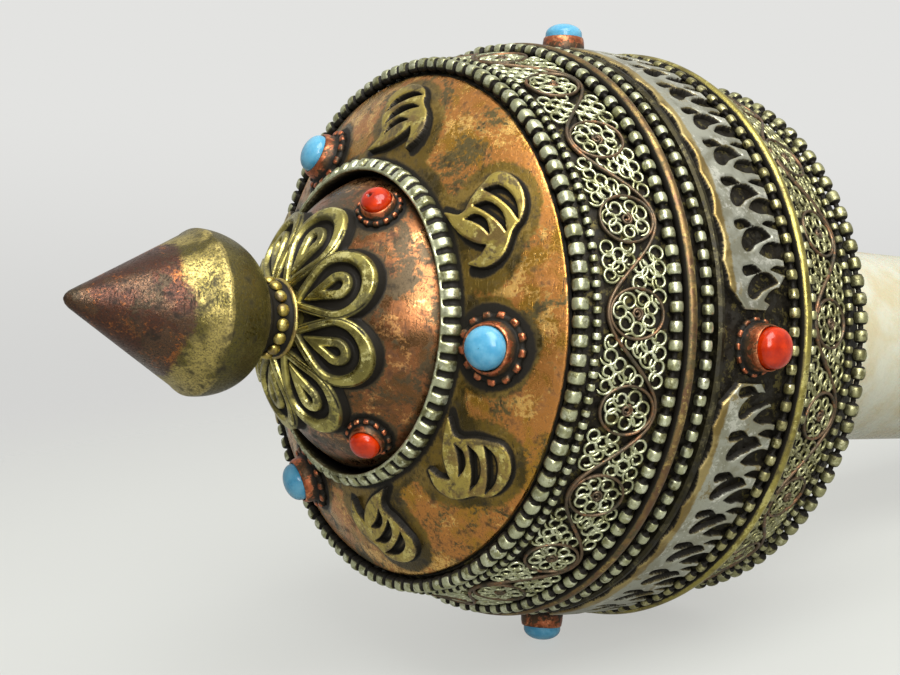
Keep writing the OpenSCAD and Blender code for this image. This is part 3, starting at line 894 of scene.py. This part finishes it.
def dome(skin, thickness, around, down, shape):
    """A closed sheet on a skin. shape(angle, s) gives lift, and grime with painted shade."""
    s = np.linspace(0, skin.s[-1], down)
    angle = whole_turn(around)[:, None]
    lift, grime_and_shade = shape(angle, s[None])
    outer = skin.place(angle, s, lift)
    inner = skin.place(angle, s[::-4], -thickness)
    points = np.concatenate([outer, inner], 1)
    # grime and painted shade over the inside of the sheet
    grime_and_shade = np.concatenate([grime_and_shade, np.full(inner.shape[:2], 0.7)], 1)
    return points, quads(around, points.shape[1]), grime_and_shade


def near_seats(skin, seats, angle, s, reach, fade):
    """How close to a seat each point is: 1 inside reach, fading out."""
    return np.maximum.reduce([
        near(np.hypot(*skin.apart(seat, angle, s)) - reach, fade) for seat in seats])


def near_leaves(angle, s, reach, fade):
    """How close to a leaf's outline each point is, no further across than reach."""
    close = []
    for seat in LEAVES:
        across, down = SHOULDER.apart(seat, angle, s)
        close.append(near(leaf(across, down, LEAF_SIZE), fade) * (np.abs(across) < reach))
    return np.maximum.reduce(close)


def shoulder_shape(angle, s):
    end = SHOULDER.s[-1]
    groove = np.exp(-((s - end + 1.5 * MM) / (0.22 * MM)) ** 2)
    rim = smooth((s - end + 1.1 * MM) / (0.5 * MM)) * smooth((end - s) / (0.25 * MM))
    dents = (0.05 * np.sin(5 * angle + 3) + 0.04 * np.sin(9 * angle + 160 * s)) * MM
    lift = dents * smooth((end - s) / (2 * MM)) - 0.14 * MM * groove + 0.02 * MM * rim
    radius, height, wire = ring_of("lid_big_beads")
    foot = SHOULDER.nearest(radius - 0.8 * wire, height)
    # grime and painted shade round the stones and leaves, next to the crown, under and beyond the
    # big beads, and in the groove
    dirt_and_shade = 0.95 * np.maximum.reduce([
        near_seats(SHOULDER, SHOULDER_STONES, angle, s, 3.9 * MM, 1.6 * MM),
        near_leaves(angle, s, 9 * MM, 0.9 * MM),
        near(s - 0.9 * MM, 1.7 * MM) * 0.95 + 0 * angle,
        smooth((s - foot) / (0.3 * MM) + 1.3) + 0 * angle])
    dirt_and_shade = np.maximum(dirt_and_shade, groove * 0.9 * smooth(0.8 + np.sin(3 * angle + 1)))
    return lift - 0.05 * MM, dirt_and_shade


def shoulder_stain(co):
    """Old lacquer left round the leaves and stones and along both edges."""
    angle, s = np.arctan2(co[:, 1], co[:, 0]), SHOULDER.at_height(co[:, 2])
    stain = near_seats(SHOULDER, SHOULDER_STONES, angle, s, 3.6 * MM, 3.4 * MM)
    stain = np.maximum(stain, near_leaves(angle, s, 14 * MM, 3.4 * MM))
    stain = np.maximum(stain, near(s - 1.4 * MM, 3.4 * MM))
    return np.maximum(0.95 * stain, 0.62 * near(SHOULDER.s[-1] - s, 3.2 * MM))


PETALS, PETAL_R = 8, 3.85               # how many, and the radius of their ends in mm
CROWN_BALL = 18.8                       # the crown is part of a ball of this radius,
CROWN_CENTRE = SEAM / MM + 10.1         # centred at this height, both in mm


def petal_edge(angle, r):
    """Signed distance to the lotus petals, and the place across and along one, all
    in mm."""
    tip = extent("lotus_rosette", MM)[0]
    local = angle % (TAU / PETALS) - math.pi / PETALS
    x, y = r * np.sin(local), r * np.cos(local)
    return teardrop(x, y, 3.6, tip - PETAL_R, 0.7, PETAL_R), x, y


def crown_shape(angle, s):
    # grime and painted shade round the stones, along the petals' edges and next to the milled ring
    dirt_and_shade = np.maximum.reduce([
        near_seats(CROWN, CROWN_STONES, angle, s, 2.5 * MM, 1.2 * MM),
        near(petal_edge(angle, CROWN.radius(s) / MM)[0], 0.6),
        near(CROWN.s[-1] - 0.5 * MM - s, 1.3 * MM) + 0 * angle])
    return 0.04 * MM * (np.sin(7 * angle + 220 * s) - 1), dirt_and_shade * 0.95


def milled_ring():
    """The crown's ring: a smooth inner lip and a milled outer slope."""
    outer, _, top = extent("crown_ring", MM)
    lip, teeth, detail = 17.3, 60, 14
    t = np.linspace(0, teeth, teeth * detail, endpoint=False)[:, None]
    tooth = smooth(1.9 - 4.6 * np.abs(t % 1 - 0.5)) * (1 + 0.08 * np.sin(37 * np.floor(t)))
    profile = np.array([
        # radius, height, cut between the teeth, grime and painted shade between the teeth, grime
        # and painted shade
        (lip, top - 3.2, 0, 0, 1.0), (lip, top - 0.5, 0, 0, 0.6),
        (lip + 0.05, top - 0.12, 0, 0, 0.1), (lip + 0.2, top, 0, 0, 0.0),
        (lip + 0.4, top - 0.05, 0, 0, 0.0), (lip + 0.52, top - 0.2, 0.3, 0.8, 0.2),
        (lip + 0.7, top - 0.22, 1, 1, 0.0), (lip + 1.0, top - 0.45, 1, 1, 0.0),
        (outer, top - 0.85, 1, 1, 0.0), (outer, top - 1.5, 0.9, 1, 0.3),
        (outer - 0.3, top - 2.6, 0.4, 1, 0.9)])
    r, z, cut, dirty_and_shaded, grime_and_shade = profile.T
    gap = cut * (1 - tooth)
    points = polar((r - 0.42 * gap) * MM, t * TAU / teeth, (z - 0.38 * gap) * MM)
    piece("crown_milled_ring", "lid", "aged_silver", [(
        points, quads(len(t), len(profile)),
        np.maximum(grime_and_shade, dirty_and_shaded * (1 - tooth)))], "crown_ring")


def lotus():
    """The lotus: petals edged by a rolled ridge, each with an inner drop."""
    bore, tip = 3.95, extent("lotus_rosette", MM)[0]
    around, out = PETALS * 84, 120
    r = np.linspace(bore, tip + 0.2, out)
    angle = whole_turn(around)[:, None]
    edge, x, y = petal_edge(angle, r)
    heart = teardrop(x, y, 5.0, tip - PETAL_R - 0.1, 0.3, 1.62)

    def ridge(distance, middle, half):
        return smooth(1.6 * (1 - np.abs(distance + middle) / half))

    thick = 0.62 + 0.38 * smooth((y - 7) / 6)
    rim = ridge(edge, 1.06 * thick, 1.12 * thick)
    flute = np.exp(-((edge + 0.45) / 0.09) ** 2) * smooth(tip - 1.2 - y)
    drop = ridge(heart, 0.66, 0.72)
    lift = 0.22 + 0.74 * rim - 0.15 * flute + 0.64 * drop
    lift = np.where(edge > 0, 0.20 - 0.1 * smooth(edge / 0.5), lift)
    outside = smooth((edge + 0.05) / 0.3) * smooth((y - 9.2) / 1.2)
    lift = (1.30 * lift * (1 - outside) - 0.12 * outside) * MM
    # grime and painted shade in the hollows between the ridges
    grime_and_shade = 1 - smooth((np.maximum(rim - 0.6 * flute, drop) - 0.2) * 1.6)
    s = [CROWN.nearest(v * MM, (CROWN_CENTRE + math.sqrt(CROWN_BALL ** 2 - v * v)) * MM)
         for v in r]
    faces = proud(quads(around, out, loop_columns=False), lift)
    piece("lotus_petals", "lid", "lotus_brass", [(CROWN.place(angle, s, lift), faces, grime_and_shade)],
          "lotus_rosette")


def lid_parts():
    sheet = piece("shoulder_sheet", "lid", "shoulder_copper",
                  [dome(SHOULDER, 0.75 * MM, 720, 80, shoulder_shape)], "shoulder_dome")
    zoned(sheet, shoulder_stain)
    piece("crown_sheet", "lid", "crown_copper",
          [dome(CROWN, 0.65 * MM, 540, 64, crown_shape)], "crown_dome")
    milled_ring()
    lotus()
    leaves()


# -------------------- turned parts

LEAN = 1.0 * MM         # how far the finial's tip leans


def finial_parts():
    widest, foot, tip = extent("finial", MM)
    belly, neck, sharp = SEAM / MM + 40, 3.4, 0.02
    under = [(neck + (widest - neck) * math.sin(t), belly - (belly - foot) * math.cos(t))
             for t in np.radians(np.arange(0, 91, 7.5))]
    flank = [(widest + (0.5 - widest) * t, belly + (tip - belly) * t)
             for t in np.linspace(0.06, 0.97, 14)]
    outline = [(sharp, foot), *under, (widest - 0.04, belly + 0.3), *flank, (sharp, tip)]

    # grime and painted shade toward the foot against the collar, and a faint line at the widest
    # edge
    def dirt_and_shade(r, z):
        edge = near(np.abs(z - belly), 0.4) * 0.2
        return np.maximum(edge, near(z - foot, 2.5) * 0.75)

    points, faces, grime_and_shade = turned(outline, 160, 0.006, dirt_and_shade)
    up = np.clip((points[..., 2] / MM - foot) / (tip - foot), 0, 1)
    points[..., 1] += LEAN * up ** 1.3
    made = piece("finial_cone", "finial", "finial_copper", [(points, faces, grime_and_shade)],
                 "finial")
    zoned(made, lambda co: smooth((belly + 6.2 - co[:, 2] / MM) / 5.6)
          + smooth((belly + 0.2 - co[:, 2] / MM) / 0.9))

    _, z0, z1 = extent("finial_collar", MM)
    waist, rim, bore, count = 4.0, 4.45, 1.95, 16
    hub = [(bore, z0), (rim, z0), (rim, z0 + 0.45), (waist - 0.1, z0 + 0.75),
           (waist - 0.1, z1 - 0.8), (rim - 0.2, z1 - 0.5), (rim - 0.3, z1), (bore, z1)]
    # grime and painted shade on the waist between the rims
    parts = [turned(hub, 96, 0, lambda r, z: smooth((rim - 0.05 - r) / 0.3), passes=2)]
    for a in (np.arange(count) + 0.5) * TAU / count:
        seat = (polar(waist * MM, a, (z0 + z1) / 2 * MM), polar(1, a + math.pi / 2, 0),
                np.array([0, 0, -1]), polar(1, a, 0))
        parts.append(cabochon(seat, 0.72 * MM, 0.05 * MM,
                              0.65 * MM * rng.uniform(0.95, 1.0)))
    piece("finial_beaded_collar", "finial", "plate_brass", parts, "finial_collar")


def handle_parts():
    rod, z0, z1 = extent("handle_grip", MM)
    bore, inner = 2.55, rod + 0.02
    grip = [(bore, z0), (rod - 0.3, z0), (rod, z0 + 0.4)]
    grip += [(rod - 0.12 * math.sin(math.pi * t) ** 2, z0 + (z1 - z0) * t)
             for t in np.linspace(0.04, 0.96, 24)]
    grip += [(rod, z1 - 0.4), (rod - 0.3, z1), (bore, z1)]
    piece("grip_stone_rod", "handle", "pale_grip_stone",
          [turned(grip, wobble=0.0015, passes=2)], "handle_grip")

    r, z0, z1 = extent("pommel_cap", MM)
    hole, nut = 1.0, 5.2                # radii of the bore and of the nut's recess
    cap = [(hole, z0 + 0.1), (r - 2.4, z0 + 0.1), (r - 2, z0), (r - 0.6, z0), (r, z0 + 0.8),
           (r, z0 + 3.6), (r - 0.35, z0 + 4), (r, z0 + 4.4), (r, z1 - 5),
           (r - 0.35, z1 - 4.6), (r, z1 - 4.2), (r, z1 - 3), (inner + 0.9, z1 - 2.5),
           (inner + 0.85, z1), (inner, z1), (inner, z0 + 4), (nut, z0 + 4), (nut, z0 + 1),
           (hole, z0 + 1)]
    # grime and painted shade along the pommel's grooves and steps
    piece("pommel_shell", "handle", "aged_silver", [turned(
        cap, grime_and_shade=lambda r, z: np.maximum.reduce([
            near(np.abs(z - h), 0.7) for h in (z0 + 4, z1 - 4.6, z1 - 2)]))], "pommel_cap")

    r, z0, z1 = extent("ferrule", MM)
    wall = [(inner, z0), (r, z0), (r, z1 - 6.2), (r - 0.3, z1 - 5.9), (r, z1 - 5.6),
            (r - 0.1, z1 - 5), (inner - 1, z1 - 2.2), (8, z1 - 0.6), (6.5, z1), (bore, z1),
            (bore, z1 - 4), (inner, z1 - 4)]
    # grime and painted shade in the groove and at the foot against the grip
    piece("ferrule_shell", "handle", "aged_silver", [turned(
        wall, grime_and_shade=lambda r, z: np.maximum(near(np.abs(z - z1 + 5.9), 0.6),
                                            near(z - z0, 2.4)))], "ferrule")


def scroll_parts():
    """One long sheet wound on its tube, tied round the middle."""
    outer, low, high = extent("scroll_paper")
    inner, pitch, sheet = 5.65 * MM, 0.52 * MM, 0.26 * MM
    turns = (outer - inner - sheet) / pitch
    t = np.linspace(0, turns, int(turns * 64))
    r = inner + pitch * t + 0.03 * MM * np.sin(9 * t)
    top = high - 0.25 * MM + 0.16 * MM * np.sin(1.7 * t) * np.sin(0.31 * t + 1)
    points = np.stack([polar(r, TAU * t, low), polar(r, TAU * t, top),
                       polar(r + sheet, TAU * t, top), polar(r + sheet, TAU * t, low)], 1)
    piece("scroll_sheet", "scroll", "scroll_sheet",
          [(points, quads(len(t), 4, loop_rows=False), 0.0)], "scroll_paper")

    _, low, high = extent("scroll_band")
    around = whole_turn(240)[:, None]
    across = np.linspace(0, 1, 15)
    crease = np.abs(np.sin(11 * math.pi * across) * np.cos(7 * around) ** 2)
    z = low + 0.25 * MM + across * (high - low - 0.5 * MM)
    face = polar(outer + (0.12 + 0.10 * crease) * MM, around,
                 z + 0.2 * MM * np.sin(3 * around + 1))
    points = np.concatenate([face, face[:, ::-1] * [0.997, 0.997, 1]], 1)
    piece("scroll_tie", "scroll", "cotton_tie",
          [(points, quads(*points.shape[:2]), 0.0)], "scroll_band")


# -------------------- the set

def table_top():
    """The pale table on which the wheel lies: it touches the pommel's beads and
    the lowest band stone. It is seen from the wheel's side only, and fades out."""
    sunk, reach = 0.05 * MM, 0.75
    foot = Vector((0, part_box("pommel_bead_ring")[0].y, mid_height("pommel_bead_ring")))
    rest = Vector((0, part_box("band_turquoise_stones")[0].y,
                   mid_height("band_turquoise_stones")))
    along, across = (rest - foot).normalized(), Vector((1, 0, 0))
    origin = rest - along.cross(across) * sunk
    mesh = bpy.data.meshes.new("table_top")
    mesh.from_pydata([origin + (along * i + across * j) * reach
                      for i, j in ((-1, -1), (1, -1), (1, 1), (-1, 1))], [], [(0, 1, 2, 3)])
    mesh.update()
    placed("table_top", mesh)

    paint = Paint("pale_table")
    # the table glows: painted light that lifts the shadows on it as the camera sees it, and a
    # weaker glow that lights the wheel from below
    seen = paint.add("LightPath").outputs["Is Camera Ray"]
    paint.finish(Base_Color=tones("70726e")[0], Roughness=0.6,
                 Emission_Color=tones("fffffa")[0],
                 Emission_Strength=paint.step(seen, 0, 1, 0.26, 0.47))
    away = paint.add("VectorMath", {0: paint.where, 1: origin}, operation="DISTANCE")
    hidden = paint.math("MAXIMUM", paint.add("NewGeometry").outputs["Backfacing"],
                        paint.step(away.outputs["Value"], 0.13, 0.42))
    clear = paint.add("BsdfTransparent").outputs[0]
    shown = paint.add("MixShader", {0: hidden, 1: paint.shader.outputs[0], 2: clear})
    paint.feed(paint.tree.nodes["Material Output"].inputs["Surface"], shown.outputs[0])
    mesh.materials.append(paint.material)


def studio():
    """A pale backdrop; the light it gives is stronger from over the table."""
    world = bpy.data.worlds.new("studio")
    bpy.context.scene.world = world
    world.use_nodes = True
    nodes = Nodes(world.node_tree)
    way = nodes.add("TexCoord").outputs["Generated"]
    up = nodes.add("SeparateXYZ", {0: way}).outputs["Y"]
    seen = nodes.add("LightPath").outputs["Is Camera Ray"]
    fill = world.node_tree.nodes["Background"]
    nodes.feed(fill.inputs["Color"], tones("e3e3e1")[0])
    nodes.feed(fill.inputs["Strength"], nodes.blend(
        seen, nodes.step(up, -0.5, 0.9, 0.30, 1.05), nodes.step(up, -0.02, 0.17, 0.86, 1.0)))


def put(name, data, place, back, roll=0.0):
    """Puts a light or a camera at a place in mm from the middle of the seam, with
    its back in the given direction."""
    made = placed(name, data)
    made.location = Vector(place) * MM + Vector((0, 0, SEAM))
    made.rotation_mode = "QUATERNION"
    made.rotation_quaternion = (Vector(back).to_track_quat("Z", "Y")
                                @ Quaternion((0, 0, 1), roll))
    return made


def softbox(name, place, size, power):
    """A square area light that faces the head."""
    light = bpy.data.lights.new(name, "AREA")
    light.shape = "RECTANGLE"
    light.size = light.size_y = size
    light.energy = power
    put(name, light, place, place)


def light_and_camera():
    studio()
    bpy.context.scene.view_settings.view_transform = "Standard"
    softbox("key_softbox", (190, 260, 100), 0.24, 1.7)
    softbox("front_softbox", (330, 100, 190), 0.16, 1.0)
    camera = bpy.data.cameras.new("camera")
    camera.sensor_width, camera.lens = 36, 59.28
    camera.clip_start, camera.clip_end = 0.01, 10
    azimuth, elevation, roll = np.radians([-1.44, 37.09, -87.61])
    back = polar(math.cos(elevation), azimuth, math.sin(elevation))
    bpy.context.scene.camera = put("camera", camera, (141.75, -4.87, 112.87), back, roll)


set_stones()
lay_wires()
filigree(SKIRT, "lid", "aged_silver")
filigree(DRUM, "drum", "drum_silver")
pierced_band()
lid_parts()
finial_parts()
handle_parts()
scroll_parts()
keep("blackened_ground", "lid_skirt", "drum_shell")
keep("rim_brass", "drum_rim_wire")
keep("rib_brass", "drum_lower_bush", "lid_upper_bush")
keep("crown_copper", "drum_collar", "drum_floor", "scroll_core")
keep("spindle_steel", "spindle", "spindle_nut")
keep("pale_grip_stone", "thrust_washer")
table_top()
light_and_camera()
